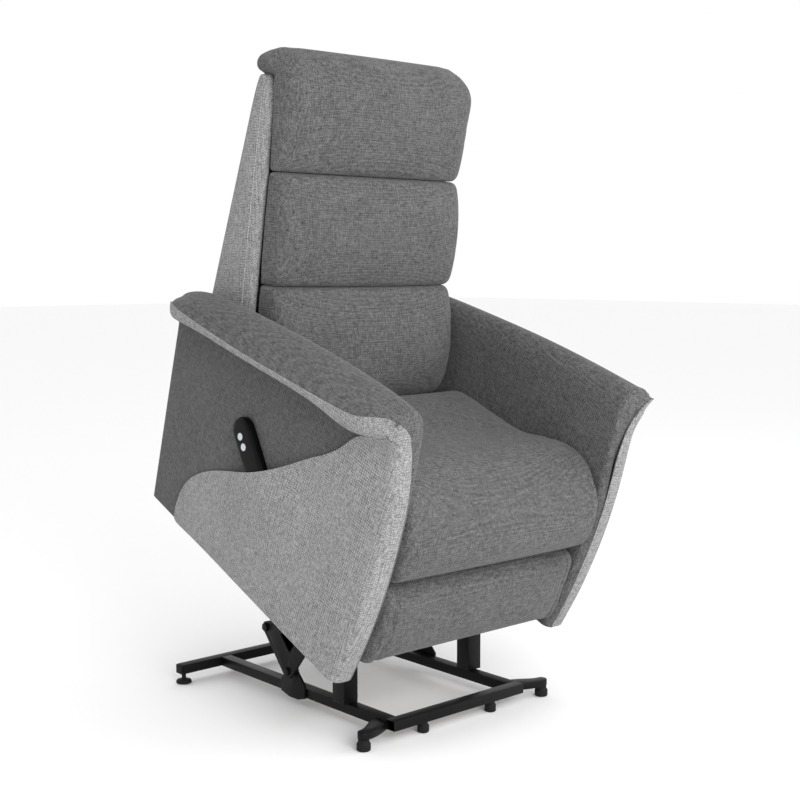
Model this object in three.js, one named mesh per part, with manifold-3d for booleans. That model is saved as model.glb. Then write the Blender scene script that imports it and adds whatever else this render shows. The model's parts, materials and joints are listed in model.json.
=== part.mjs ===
// Lift recliner chair, shown raised and tipped forward on its lift linkage.
// Millimetres, +Z up, front towards -Y, the sitter's left towards +X.
import * as THREE from "three";
import * as BufferGeometryUtils from "three/addons/utils/BufferGeometryUtils.js";
import Module from "manifold-3d";

const wasm = await Module();
wasm.setup();

// ---------- driving dimensions ----------

const contactGap = 0.3; // between pieces that touch
const runningGap = 1.2; // between parts that turn past each other
const pinGap = 0.3; // radial, pin in hole
const frontCentre = 234.8; // from the front tube's face back to the middle of the plan

// floor base
const railSpan = 392; // over both rails
const tubeWidth = 27;
const tubeHeight = 22;
const tubeWall = 2;
const tubeBottom = 24; // floor to the underside of the tubes
const baseLength = 658;
const rearTubeSpan = 612;
const rearTubeDepth = 25;
const endCapThickness = 4;
const footRadius = 15;
const outriggerSpan = 538; // between the centres of the two side feet
const outriggerWidth = 26;
const outriggerHeight = 16;
const frontFootSpan = 204;
const frontFootRadius = 13;
const glideRadius = 19;
const glideThickness = 8;
const stemRadius = 5;

// lift linkage: places in the side view as [y, z] from the front tube's face and the floor
const postPivot = [175.1, 149.9];
const crankPivot = [340.7, 80.1];
const torquePivot = [420.5, 166.8];
const drivePinReach = 62; // of the drive pin from the crank pivot, towards the torque tube
const actuatorPivot = [600.2, 84.2];
const actuatorAngle = THREE.MathUtils.degToRad(168.08);
const actuatorReach = 221.1; // actuator pivot to the middle of the rod's eye, chair raised
const eyePlay = 4.8; // the rod's eye is slotted across its stroke by this much each way
const postWidth = 39;
const postDepth = 40;
const plateThickness = 6;
const linkRadius = 13;
const crankRadius = 17;
const pinRadius = 6;
const headThickness = 5;
const openPinPlay = 1.9; // radial play where the front link meets the seat frame
const torqueTubeRadius = 11;

// seat frame: [v, w] is back from, and up from, the lower front corner of the side panels
const tilt = THREE.MathUtils.degToRad(24);
const chassisCorner = [27.3, 158.2]; // that corner's [y, z] with the chair raised
const chassisDepth = 720;
const crankPinOnChassis = [202.5, -17.2];
const linkPinOnChassis = [119.8, 43.5];
const seatWidth = 568;
const seatFrontBottom = 226;
const seatDeckTop = 203;
const seatTop = 396;
const seatBack = 470;
const seatFront = -42;
const sideClearance = 3; // seat to arm
const boardThickness = 18;
const seatRailHeight = 30;
const seatRailWidth = 36;
const liftRail = 25;
const liftRailBottom = 15;

// arms
const armThickness = 60;
const armFlare = 57; // how far the arm top stands out past the side panel
const panelThickness = 3;
const pocketDepth = 28; // of the pouch, from the arm's face
const pocketWall = 3.5;
const pocketRoom = 2.5; // round the handset in its pouch

// backrest: [y, z] in its own frame, z along the recline line from the hinge
const backHinge = [610, 240];
const backLean = THREE.MathUtils.degToRad(18.2);
const backInset = 12; // backrest inside the seat's width, each side
const backWidth = seatWidth - 2 * backInset;
const backWebbing = -62; // rear face of the webbing behind the cushions
const shellFront = -112;
const shellRearBottom = [138, 140];
const shellRearTop = [-46, 786];
const cushionGap = 3;

// leg rest
const legPivot = [95, 160];
const legElbow = [112, 23];
const legBoardPivot = [64, 148];
const legBoardBottom = 40;
const legBoardTop = 200;
const legPadBottom = 28;
const legPadTop = 214;
const legPadFront = -27;
const legBoardFront = 31;

// handset
const handsetLength = 185;
const handsetWidth = 60;
const handsetThickness = 22;
const handsetTop = [465.5, 352]; // middle of its upper end, beside the side panel
const handsetAngle = THREE.MathUtils.degToRad(38);
const handsetExposed = 120;
const buttonPlaces = [41, 65]; // of the two buttons, down from the handset's upper end
const buttonRadius = 8;
const buttonAcross = -5; // of both buttons, from the handset's middle line

// ---------- finishes ----------

const finish = (color, roughness, metalness) =>
  new THREE.MeshStandardMaterial({ color, roughness, metalness });
const blackSteel = finish(0x141414, 0.45, 0.7);
const zincSteel = finish(0x8d8f92, 0.4, 0.9);
const darkFabric = finish(0x6a6a6b, 0.95, 0);
const paleFabric = finish(0xa2a2a3, 0.95, 0);
const rubber = finish(0x151515, 0.9, 0);
const blackPlastic = finish(0x0e0e0f, 0.25, 0);
const motorPlastic = finish(0x26282b, 0.6, 0);
const greyPlastic = finish(0xb9bcc0, 0.4, 0);
const timber = finish(0xb08d5f, 0.8, 0);

// ---------- helpers ----------

const chair = new THREE.Group();
chair.position.y = -frontCentre;
const chassis = new THREE.Group();
chassis.position.set(0, ...chassisCorner);
chassis.rotation.x = tilt;
chair.add(chassis);

const sides = [
  ["right", -1],
  ["left", 1],
];

function place(parent, name, geometry, material) {
  const mesh = new THREE.Mesh(geometry, material);
  mesh.name = name;
  parent.add(mesh);
  return mesh;
}

function box(x0, x1, y0, y1, z0, z1) {
  const geometry = new THREE.BoxGeometry(x1 - x0, y1 - y0, z1 - z0);
  return geometry.translate((x0 + x1) / 2, (y0 + y1) / 2, (z0 + z1) / 2);
}

// A side-view outline, as a Shape in [y, z], given thickness along X between x0 and x1.
function slab(shape, x0, x1) {
  const low = Math.min(x0, x1);
  const geometry = new THREE.ExtrudeGeometry(shape, {
    depth: Math.abs(x1 - x0),
    bevelEnabled: false,
    curveSegments: 10,
  });
  geometry.rotateX(Math.PI / 2);
  geometry.rotateZ(Math.PI / 2);
  return geometry.translate(low, 0, 0);
}

function polygon(points) {
  return new THREE.Shape(points.map(([y, z]) => new THREE.Vector2(y, z)));
}

// A bar along X.
function barX(radius, x0, x1, [y, z], segments = 20) {
  const geometry = new THREE.CylinderGeometry(radius, radius, Math.abs(x1 - x0), segments);
  geometry.rotateZ(Math.PI / 2);
  return geometry.translate((x0 + x1) / 2, y, z);
}

function solid(geometry) {
  const bare = new THREE.BufferGeometry();
  bare.setAttribute("position", geometry.attributes.position.clone());
  if (geometry.index) bare.setIndex(geometry.index.clone());
  const merged = BufferGeometryUtils.mergeVertices(bare, 1e-4);
  const mesh = new wasm.Mesh({
    numProp: 3,
    vertProperties: new Float32Array(merged.attributes.position.array),
    triVerts: new Uint32Array(merged.index.array),
  });
  return new wasm.Manifold(mesh);
}

function fromSolid(manifold) {
  const mesh = manifold.getMesh();
  const geometry = new THREE.BufferGeometry();
  geometry.setAttribute("position", new THREE.BufferAttribute(mesh.vertProperties, 3));
  geometry.setIndex(new THREE.BufferAttribute(mesh.triVerts, 1));
  return geometry;
}

function cut(geometry, ...tools) {
  return fromSolid(tools.reduce((body, tool) => body.subtract(solid(tool)), solid(geometry)));
}

function join(...geometries) {
  return fromSolid(geometries.map(solid).reduce((a, b) => a.add(b)));
}

// A closed body through rings of points, all with the same number of points.
function loft(rings) {
  const count = rings[0].length;
  const positions = rings.flat(2);
  const faces = [];
  for (let r = 0; r + 1 < rings.length; r++) {
    for (let i = 0; i < count; i++) {
      const j = (i + 1) % count;
      const [a, b] = [r * count + i, r * count + j];
      faces.push(a, b, b + count, a, b + count, a + count);
    }
  }
  const last = (rings.length - 1) * count;
  for (let i = 1; i + 1 < count; i++) {
    faces.push(0, i + 1, i);
    faces.push(last, last + i, last + i + 1);
  }
  const geometry = new THREE.BufferGeometry();
  geometry.setAttribute("position", new THREE.BufferAttribute(new Float32Array(positions), 3));
  geometry.setIndex(faces);
  return fromSolid(solid(volume(geometry) < 0 ? flip(geometry) : geometry));
}

function volume(geometry) {
  const p = geometry.attributes.position;
  const [a, b, c] = [new THREE.Vector3(), new THREE.Vector3(), new THREE.Vector3()];
  let sum = 0;
  for (let i = 0; i < geometry.index.count; i += 3) {
    a.fromBufferAttribute(p, geometry.index.getX(i));
    b.fromBufferAttribute(p, geometry.index.getX(i + 1));
    c.fromBufferAttribute(p, geometry.index.getX(i + 2));
    sum += a.dot(b.cross(c)) / 6;
  }
  return sum;
}

function flip(geometry) {
  geometry.setIndex([...geometry.index.array].reverse());
  return geometry;
}

// The outline of a flat link with a round end at each [y, z] of the list.
function linkShape(ends, radii) {
  const shape = new THREE.Shape();
  const n = ends.length;
  for (let i = 0; i < n; i++) {
    const [p, q, s] = [ends[(i + n - 1) % n], ends[i], ends[(i + 1) % n]];
    const [rp, rq, rs] = [radii[(i + n - 1) % n], radii[i], radii[(i + 1) % n]];
    const enter = tangentAngle(p, q, rp, rq);
    const leave = tangentAngle(q, s, rq, rs);
    shape.absarc(q[0], q[1], rq, enter, leave, false);
  }
  return shape;
}

// Direction from a centre to where the outer tangent from circle p to circle q touches, p to q anticlockwise.
function tangentAngle([py, pz], [qy, qz], rp, rq) {
  const along = Math.atan2(qz - pz, qy - py);
  return along - Math.acos((rp - rq) / Math.hypot(qy - py, qz - pz));
}

// A point of the seat frame seen from the floor's frame.
function toBase([v, w]) {
  const [cos, sin] = [Math.cos(tilt), Math.sin(tilt)];
  return [chassisCorner[0] + v * cos - w * sin, chassisCorner[1] + v * sin + w * cos];
}

// ---------- floor base ----------

const railOuter = railSpan / 2;
const railInner = railOuter - tubeWidth;
const tubeTop = tubeBottom + tubeHeight;
const rearTubeFront = baseLength - rearTubeDepth;
const postTop = postPivot[1] + linkRadius + 5;
const postFront = postPivot[0] - 25;
const postOuter = railInner + postWidth;
const crankInner = postOuter + runningGap + 1.5; // the cranks pass outside the posts
const crankOuter = crankInner + plateThickness;
const crankLugOuter = crankOuter + runningGap + plateThickness;
const linkOuter = railInner - runningGap - 1; // the front links pass inside the posts
const linkInner = linkOuter - plateThickness;
const lugOuter = linkInner - runningGap - 1;
const lugInner = lugOuter - plateThickness;

const driveShare = drivePinReach / Math.hypot(torquePivot[0] - crankPivot[0], torquePivot[1] - crankPivot[1]);
const drivePivot = [0, 1].map((k) => crankPivot[k] + driveShare * (torquePivot[k] - crankPivot[k]));
const earInner = 18;
const earOuter = 24;
const eyeHalf = 8;
const lugStart = eyeHalf + 1.2;
const rodRadius = 9;
const rodStart = 60; // inner end of the rod, chair raised
const motorTubeRadius = 16;
const motorTubeEnd = 172;
const motorRadius = 21;
const motorEnd = 128;

function hollowTube(outer, inner) {
  return cut(box(...outer), box(...inner));
}

function buildBase() {
  const wallTube = (x0, x1, y0, y1, alongY) => {
    const t = tubeWall;
    const inner = alongY ? [x0 + t, x1 - t, y0 - 1, y1 + 1] : [x0 - 1, x1 + 1, y0 + t, y1 - t];
    return hollowTube([x0, x1, y0, y1, tubeBottom, tubeTop], [...inner, tubeBottom + t, tubeTop - t]);
  };
  place(chair, "front_cross_tube", wallTube(-railOuter, railOuter, 0, tubeWidth, false), blackSteel);
  const rearHalf = rearTubeSpan / 2;
  const rearTube = wallTube(-rearHalf, rearHalf, rearTubeFront, baseLength, false);
  place(chair, "rear_cross_tube", rearTube, blackSteel);

  for (const [side, s] of sides) {
    const [low, high] = s > 0 ? [railInner, railOuter] : [-railOuter, -railInner];
    const rail = wallTube(low, high, tubeWidth + contactGap, rearTubeFront - contactGap, true);
    place(chair, `rail_${side}`, rail, blackSteel);

    const capStart = s * (rearHalf + contactGap);
    const cap = box(
      Math.min(capStart, capStart + s * endCapThickness),
      Math.max(capStart, capStart + s * endCapThickness),
      rearTubeFront,
      baseLength,
      tubeBottom,
      tubeTop
    );
    place(chair, `rear_end_cap_${side}`, cap, rubber);

    place(chair, `outrigger_${side}`, outrigger(s), blackSteel);
    const footX = (s * outriggerSpan) / 2;
    place(chair, `side_foot_${side}`, foot(footX, 12.5, footRadius, tubeBottom - contactGap), rubber);
    const frontX = (s * frontFootSpan) / 2;
    const frontFoot = foot(frontX, tubeWidth / 2, frontFootRadius, tubeBottom - contactGap);
    place(chair, `front_foot_${side}`, frontFoot, rubber);
    const glideX = s * (rearHalf - 10);
    place(chair, `rear_glide_${side}`, glide(glideX, (rearTubeFront + baseLength) / 2), rubber);
    place(chair, `post_${side}`, post(s), blackSteel);
    place(chair, `crank_bracket_${side}`, crankBracket(s), blackSteel);
  }
  place(chair, "actuator_bracket", actuatorBracket(), blackSteel);
}

// A pad that tapers upward, turned about its own upright axis.
function foot(x, y, radius, top) {
  const profile = [
    [0, 0],
    [radius - 1.5, 0],
    [radius, 2],
    [radius, top * 0.62],
    [radius - 3, top * 0.75],
    [radius - 3, top],
    [0, top],
  ];
  return lathe(profile, x, y);
}

function glide(x, y) {
  const top = tubeBottom - contactGap;
  const profile = [
    [0, 0],
    [glideRadius - 2, 0],
    [glideRadius, 2],
    [glideRadius - 2, glideThickness],
    [stemRadius, glideThickness + 1],
    [stemRadius, top],
    [0, top],
  ];
  return lathe(profile, x, y);
}

function lathe(profile, x, y, segments = 20) {
  const points = profile.map(([r, z]) => new THREE.Vector2(r, z));
  const geometry = new THREE.LatheGeometry(points, segments);
  geometry.rotateX(Math.PI / 2);
  geometry.translate(x, y, 0);
  const merged = BufferGeometryUtils.mergeVertices(positionOnly(geometry), 1e-4);
  return fromSolid(solid(volume(merged) < 0 ? flip(merged) : merged));
}

function positionOnly(geometry) {
  const bare = new THREE.BufferGeometry();
  bare.setAttribute("position", geometry.attributes.position);
  bare.setIndex(geometry.index);
  return bare;
}

// A flat bar that leaves the rail sideways and bends forward to its rounded pad.
function outrigger(s) {
  const reach = outriggerSpan / 2;
  const half = outriggerWidth / 2;
  const start = railOuter + contactGap;
  const shape = new THREE.Shape();
  shape.moveTo(start, 60);
  shape.bezierCurveTo(start + 30, 56, reach - 22, 12.5 + half + 4, reach - 4, 12.5 + half);
  shape.absarc(reach, 12.5, half, Math.PI / 2, -Math.PI / 2, true);
  shape.bezierCurveTo(reach - 30, 12.5 - half, start + 22, 12, start, 22);
  shape.closePath();
  const options = { depth: outriggerHeight, bevelEnabled: false, curveSegments: 8 };
  const geometry = new THREE.ExtrudeGeometry(shape, options);
  geometry.translate(0, 0, tubeBottom);
  return s > 0 ? geometry : mirrored(geometry);
}

function mirrored(geometry) {
  const copy = solid(geometry).mirror([1, 0, 0]);
  return fromSolid(copy);
}

// A square post on the rail, with the stud that carries the front link on its inner face.
function post(s) {
  const [low, high] = s > 0 ? [railInner, postOuter] : [-postOuter, -railInner];
  const body = box(low, high, postFront, postFront + postDepth, tubeTop + contactGap, postTop);
  return join(body, headedPin(s, railInner + 3, linkInner, postPivot));
}

// A pin along X whose shank runs from start to end, with a hexagon head just past the end.
function headedPin(s, start, end, pivot) {
  const way = Math.sign(end - start);
  const headStart = end + way * contactGap;
  const shank = barX(pinRadius, s * start, s * (headStart + way), pivot);
  return join(shank, barX(pinRadius + 4, s * headStart, s * (headStart + way * headThickness), pivot, 6));
}

// A plate on the outside of the rail, with a boss and the stud that carries the crank.
function crankBracket(s) {
  const [y, z] = crankPivot;
  const inner = railOuter + contactGap;
  const plate = new THREE.Shape();
  plate.moveTo(y - 44, tubeBottom);
  plate.lineTo(y - 18, tubeBottom - 8);
  plate.lineTo(y + 12, tubeBottom - 8);
  plate.lineTo(y + 44, tubeBottom);
  plate.lineTo(y + 44, tubeTop + 6);
  plate.absarc(y, z, crankRadius, 0, Math.PI, false);
  plate.lineTo(y - 44, tubeTop + 6);
  plate.closePath();
  const sheet = slab(plate, s * inner, s * (inner + 6));
  const boss = barX(pinRadius + 5, s * (inner + 5), s * (crankInner - runningGap), crankPivot);
  return join(sheet, boss, headedPin(s, inner + 3, crankOuter, crankPivot));
}

// Two ears that stand on the rear tube and lean forward to the pin the actuator hangs on.
function actuatorBracket() {
  const [y, z] = actuatorPivot;
  const ear = new THREE.Shape();
  ear.moveTo(rearTubeFront, tubeTop + contactGap);
  ear.lineTo(baseLength, tubeTop + contactGap);
  ear.lineTo(baseLength - 2, tubeTop + 10);
  ear.absarc(y, z, 12, Math.PI / 3, (4 * Math.PI) / 3, false);
  ear.closePath();
  const foot = box(-earOuter, earOuter, rearTubeFront, baseLength, tubeTop + contactGap, tubeTop + 5);
  const pin = barX(pinRadius, -earInner - 2, earInner + 2, actuatorPivot);
  return join(slab(ear, -earOuter, -earInner), slab(ear, earInner, earOuter), foot, pin);
}

// Along, and square to, the actuator's stroke in the side view, measured from its pivot.
function onActuator(along, across) {
  const [cos, sin] = [Math.cos(actuatorAngle), Math.sin(actuatorAngle)];
  return [actuatorPivot[0] + along * cos + across * sin, actuatorPivot[1] + along * sin - across * cos];
}

// A round bar along the actuator's stroke.
function strokeBar(radius, from, to, segments = 20) {
  const geometry = new THREE.CylinderGeometry(radius, radius, to - from, segments);
  geometry.translate(0, (from + to) / 2, 0);
  geometry.rotateX(actuatorAngle);
  return geometry.translate(0, ...actuatorPivot);
}

// A block along the stroke: half width in X, stroke range, range across the stroke.
function strokeBlock(half, from, to, low, high) {
  const corners = [onActuator(from, low), onActuator(to, low), onActuator(to, high), onActuator(from, high)];
  return slab(polygon(corners), -half, half);
}

function buildActuator() {
  place(chair, "actuator_body", actuatorBody(), motorPlastic);
  place(chair, "actuator_rod", actuatorRod(), zincSteel);
}

// Gear housing, guide tube, and the electric motor that lies beside them.
function actuatorBody() {
  const housing = join(
    strokeBlock(earInner - runningGap, -12, 30, -13, 13),
    strokeBlock(28, 24, 66, -24, 24),
    strokeBar(motorTubeRadius, 60, motorTubeEnd),
    strokeBar(motorRadius, 30, motorEnd).translate(26 + motorRadius, 0, 0)
  );
  const bore = strokeBar(rodRadius + 1, 42, motorTubeEnd + 1);
  return cut(housing, bore, barX(pinRadius + pinGap, -earOuter, earOuter, actuatorPivot));
}

function actuatorRod() {
  const across = pinRadius + eyePlay;
  const along = pinRadius + 1;
  const [eyeStart, eyeEnd] = [actuatorReach - along, actuatorReach + along];
  const eye = strokeBlock(eyeHalf, eyeStart - 6, eyeEnd + 6, -across - 7, across + 7);
  const slot = strokeBlock(eyeHalf + 1, eyeStart, eyeEnd, -across, across);
  const rod = strokeBar(rodRadius, rodStart, actuatorReach - along - 5);
  return cut(join(eye, rod), slot);
}

// ---------- lift linkage ----------

function buildLinkage() {
  const crankEnd = toBase(crankPinOnChassis);
  for (const [side, s] of sides) {
    place(chair, `crank_${side}`, crank(s, crankEnd), blackSteel);
  }
  place(chair, "front_link_frame", frontLinkFrame(toBase(linkPinOnChassis)), blackSteel);
  place(chair, "torque_tube", torqueTube(), blackSteel);
}

// A three-cornered plate with a window between its arms and a stud at its outer end.
function crank(s, crankEnd) {
  const corners = [crankPivot, torquePivot, crankEnd];
  const radii = [crankRadius, linkRadius, linkRadius + 1];
  const centre = [0, 1].map((k) => (corners[0][k] + corners[1][k] + corners[2][k]) / 3);
  const window = corners.map((p) => [0, 1].map((k) => centre[k] + (p[k] - centre[k]) * 0.42));
  const plate = slab(linkShape(corners, radii), s * crankInner, s * crankOuter);
  const [near, far] = [s * (crankInner - 2), s * (crankOuter + 2)];
  const holes = [crankPivot, torquePivot].map((p) => barX(pinRadius + pinGap, near, far, p));
  const stud = headedPin(s, crankOuter - 2, crankLugOuter, crankEnd);
  return join(cut(plate, slab(polygon(window), near, far), ...holes), stud);
}

// The two front links, tied together half way along by a cross tube.
function frontLinkFrame(linkEnd) {
  const shape = linkShape([postPivot, linkEnd], [linkRadius, linkRadius]);
  const links = [-1, 1].map((s) => slab(shape, s * linkInner, s * linkOuter));
  const middle = [0, 1].map((k) => (postPivot[k] + linkEnd[k]) / 2);
  const tie = barX(8, -linkInner - 1, linkInner + 1, middle);
  const reach = linkOuter + 2;
  return cut(
    join(tie, ...links),
    barX(pinRadius + pinGap, -reach, reach, postPivot),
    barX(pinRadius + openPinPlay, -reach, reach, linkEnd)
  );
}

// The tube that ties the two cranks together, bolted through them at its ends, with two
// lugs at its middle that hold the drive pin.
function torqueTube() {
  const half = crankInner - contactGap;
  const tube = barX(torqueTubeRadius, -half, half, torquePivot);
  const shape = linkShape([drivePivot, torquePivot], [linkRadius - 1, torqueTubeRadius + 3]);
  const lugs = [-1, 1].map((s) => slab(shape, s * lugStart, s * (lugStart + plateThickness)));
  const bolts = [-1, 1].map((s) => headedPin(s, half - 5, crankOuter, torquePivot));
  const drivePin = barX(pinRadius, -lugStart - 2, lugStart + 2, drivePivot);
  return join(tube, ...lugs, ...bolts, drivePin);
}

// ---------- seat frame and seat ----------

const cushionHalf = seatWidth / 2 - 2;
const armInner = seatWidth / 2 + sideClearance;
const armOuter = armInner + armThickness;
const backFrameHalf = backWidth / 2;
const frameHalf = armInner - contactGap; // over the seat rails
const plateOuter = frameHalf - seatRailWidth + plateThickness;
const plateInner = plateOuter - plateThickness;
const liftOuter = plateInner - contactGap;
const liftInner = liftOuter - liftRail;
const crossMember = [135, 92];
const seatFrameFront = 50;
const legLinkA = [plateOuter + 1.5, plateOuter + 6.5];
const legLinkB = [plateOuter + 8, plateOuter + 13];
const legLinkRadius = 10;
const upperTie = [0, 1].map((k) => (legPivot[k] + legElbow[k]) / 2);
const lowerTie = [0, 1].map((k) => legElbow[k] + 0.8 * (legBoardPivot[k] - legElbow[k]));
const seatFrameRear = 578;
const seatFrameBottom = seatDeckTop - seatRailHeight;

function buildChassis() {
  for (const [side, s] of sides) {
    place(chassis, `mechanism_plate_${side}`, mechanismPlate(s), blackSteel);
    place(chassis, `lift_rail_${side}`, liftRailWithLug(s), blackSteel);
  }
  place(chassis, "front_cross_member", frontCrossMember(), blackSteel);
  const reach = plateInner - contactGap;
  place(chassis, "rear_cross_member", box(-reach, reach, 622, 647, 110, 135), blackSteel);
  place(chassis, "seat_frame", seatFrame(), timber);
  const inside = frameHalf - seatRailWidth - contactGap;
  const deckFront = seatFrameFront + boardThickness + contactGap;
  const deckRear = seatFrameRear - boardThickness - contactGap;
  const deck = box(-inside, inside, deckFront, deckRear, seatDeckTop - 12, seatDeckTop);
  place(chassis, "seat_deck", deck, timber);
  place(chassis, "seat_cushion", seatCushion(), darkFabric);
  place(chassis, "control_box", box(-70, 70, 430, 550, 125, seatDeckTop - 12 - contactGap), motorPlastic);
}

// Two wide rails and two cross boards, glued into one frame.
function seatFrame() {
  const [low, high] = [seatFrameBottom, seatDeckTop];
  const rail = frameHalf - seatRailWidth;
  return join(
    box(-frameHalf, -rail, seatFrameFront, seatFrameRear, low, high),
    box(rail, frameHalf, seatFrameFront, seatFrameRear, low, high),
    box(-rail - 1, rail + 1, seatFrameFront, seatFrameFront + boardThickness, low, high),
    box(-rail - 1, rail + 1, seatFrameRear - boardThickness, seatFrameRear, low, high)
  );
}

// The side plate that carries the seat frame, and the studs of the leg rest and the backrest.
function mechanismPlate(s) {
  const top = seatFrameBottom - contactGap;
  const [hingeY, hingeZ] = backHinge;
  const shape = new THREE.Shape();
  shape.moveTo(122, liftRailBottom);
  shape.lineTo(655, liftRailBottom);
  shape.lineTo(655, 160);
  shape.lineTo(hingeY + 22, hingeZ);
  shape.absarc(hingeY, hingeZ, 22, 0, Math.PI, false);
  shape.lineTo(hingeY - 22, top + 12);
  shape.lineTo(seatFrameRear + 2, top);
  shape.lineTo(legPivot[0] - 12, top);
  shape.lineTo(legPivot[0] - 12, legPivot[1] - 16);
  shape.lineTo(122, legPivot[1] - 40);
  shape.closePath();
  return join(
    slab(shape, s * plateInner, s * plateOuter),
    headedPin(s, plateInner + 2, backFrameHalf, backHinge),
    headedPin(s, plateInner + 2, legLinkA[1], legPivot)
  );
}

// A square tube with a lug on its inner face that turns on the stud of the crank.
function liftRailWithLug(s) {
  const [low, high] = s > 0 ? [liftInner, liftOuter] : [-liftOuter, -liftInner];
  const [bottom, top] = [liftRailBottom, liftRailBottom + liftRail];
  const t = tubeWall;
  const cavity = [low + t, high - t, 89, 691, bottom + t, top - t];
  const tube = hollowTube([low, high, 90, 690, bottom, top], cavity);
  const [y, z] = crankPinOnChassis;
  const shape = new THREE.Shape();
  shape.moveTo(y + 34, top);
  shape.lineTo(y - 34, top);
  shape.lineTo(y - 34, bottom);
  shape.absarc(y, z, linkRadius + 1, Math.PI, 2 * Math.PI, false);
  shape.lineTo(y + 34, bottom);
  shape.closePath();
  const near = crankOuter + runningGap;
  const lug = slab(shape, s * near, s * crankLugOuter);
  const bridgeEnds = [s * near, s * (liftInner + 1)];
  const bridge = box(Math.min(...bridgeEnds), Math.max(...bridgeEnds), y - 34, y + 34, bottom, top);
  const hole = barX(pinRadius + pinGap, s * (near - 1), s * (crankLugOuter + 1), crankPinOnChassis);
  return cut(join(tube, lug, bridge), hole);
}

// A square bar between the lift rails, with two lugs that reach down to the front links.
function frontCrossMember() {
  const [y, z] = crossMember;
  const half = liftInner - contactGap;
  const bar = box(-half, half, y, y + liftRail, z, z + liftRail);
  const legs = [
    box(-half, -half + 6, y, y + liftRail, 22, z + 2),
    box(half - 6, half, y, y + liftRail, 22, z + 2),
  ];
  const [lugY, lugZ] = linkPinOnChassis;
  const shape = new THREE.Shape();
  shape.moveTo(y + liftRail, z + 10);
  shape.lineTo(y + 2, z + 10);
  shape.lineTo(lugY - linkRadius, lugZ + 10);
  shape.absarc(lugY, lugZ, linkRadius, Math.PI, 2 * Math.PI, false);
  shape.closePath();
  const lugs = [-1, 1].map((s) => slab(shape, s * lugInner, s * lugOuter));
  const studs = [-1, 1].map((s) => headedPin(s, lugInner + 2, linkOuter, linkPinOnChassis));
  return join(bar, ...legs, ...lugs, ...studs);
}

// Side profile with the rolled front edge, the full width between the arms.
function seatCushion() {
  const bottom = seatDeckTop + contactGap;
  const shape = new THREE.Shape();
  shape.moveTo(seatBack, bottom);
  shape.lineTo(seatBack, seatTop - 22);
  shape.bezierCurveTo(380, seatTop + 2, 200, seatTop + 14, 120, seatTop + 12);
  shape.bezierCurveTo(40, seatTop + 10, seatFront, seatTop - 40, seatFront, seatFrontBottom + 60);
  const low = seatFrontBottom;
  shape.bezierCurveTo(seatFront, low + 20, seatFront + 2, low, seatFront + 14, low);
  shape.lineTo(32, seatFrontBottom - 5);
  shape.lineTo(52, bottom);
  shape.closePath();
  return slab(shape, -cushionHalf, cushionHalf);
}

// ---------- arms ----------

const armFront = [
  [0, 0],
  [-14, 113],
  [-20, 241],
  [-17, 340],
  [-8, 425],
  [6, 500],
];
const armRearTop = [chassisDepth + 48, 405];
const underArm = (y) => 500 + ((y - 6) / (armRearTop[0] - 6)) * (armRearTop[1] - 500);

// The front edge from its top down to the lowest height given.
function followFront(shape, lowest) {
  const points = armFront.slice(0, -1).reverse();
  shape.splineThru(points.map(([y, z]) => new THREE.Vector2(y, Math.max(z, lowest))));
}

function armOutline() {
  const shape = new THREE.Shape();
  shape.moveTo(chassisDepth, 0);
  shape.lineTo(...armRearTop);
  shape.lineTo(...armFront.at(-1));
  followFront(shape, 0);
  shape.closePath();
  return shape;
}

function buildArms() {
  for (const [side, s] of sides) {
    place(chassis, `arm_${side}`, slab(armOutline(), s * armInner, s * armOuter), darkFabric);
    place(chassis, `arm_top_${side}`, armTop(s), darkFabric);
    place(chassis, `side_panel_${side}`, sidePanel(s), paleFabric);
  }
}

// [y, crown height, height of the wing's edge]
const armStations = [
  [-16, 545, 545],
  [-4, 588, 562],
  [24, 614, 572],
  [120, 618, 566],
  [260, 604, 552],
  [400, 586, 536],
  [540, 562, 522],
  [chassisDepth - 70, 538, 514],
  [chassisDepth + 10, 508, 506],
  [chassisDepth + 48, 470, 470],
];

// The padded top: upright on the inside, crowned, and flared past the side panel.
function armTop(s) {
  const rings = armStations.map(([y, crown, wing], i) => {
    const bottom = underArm(y) + contactGap;
    const end = i === 0 || i === armStations.length - 1;
    const flare = end ? armFlare * 0.45 : armFlare;
    const edge = armOuter + flare;
    const points = [
      [armInner, bottom],
      [armInner, Math.max(bottom + 8, crown - 28)],
      [armInner + 14, crown - 8],
      [armInner + 42, crown],
      [armInner + 78, crown - (crown - wing) * 0.35],
      [edge - 3, wing + 14],
      [edge, wing],
      [edge - 8, wing - 14],
      [armOuter + 8, Math.min(wing - 20, bottom + 26)],
      [armOuter - 1, bottom],
    ];
    return points.map(([x, z]) => [s * x, y, z]);
  });
  return loft(rings);
}

// The pale cover over the lower front of the arm, with the handset's pouch on the sitter's right.
function sidePanel(s) {
  const shape = new THREE.Shape();
  shape.moveTo(614, 4);
  shape.bezierCurveTo(614, 130, 590, 170, 500, 200);
  shape.bezierCurveTo(440, 228, 400, 255, 350, 290);
  shape.bezierCurveTo(280, 340, 180, 410, 132, 478);
  shape.lineTo(6, 492);
  followFront(shape, 4);
  shape.closePath();
  const near = armOuter + contactGap;
  const cover = slab(shape, s * near, s * (armOuter + panelThickness));
  if (s > 0) return cover;
  const bottom = handsetLength + pocketRoom;
  const half = handsetWidth / 2 + pocketRoom;
  const outer = armOuter + pocketDepth;
  const pouch = handsetSlab(handsetExposed + 6, bottom + pocketWall, half + pocketWall, near, outer);
  const cavity = handsetSlab(-60, bottom, half, near - 1, outer - pocketWall);
  return cut(join(cover, pouch), cavity);
}

// A block along the handset: range from its upper end, half width, range in X on the right side.
function handsetSlab(from, to, half, near, far) {
  const points = [onHandset(from, -half), onHandset(from, half), onHandset(to, half), onHandset(to, -half)];
  return slab(polygon(points), -near, -far);
}

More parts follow.
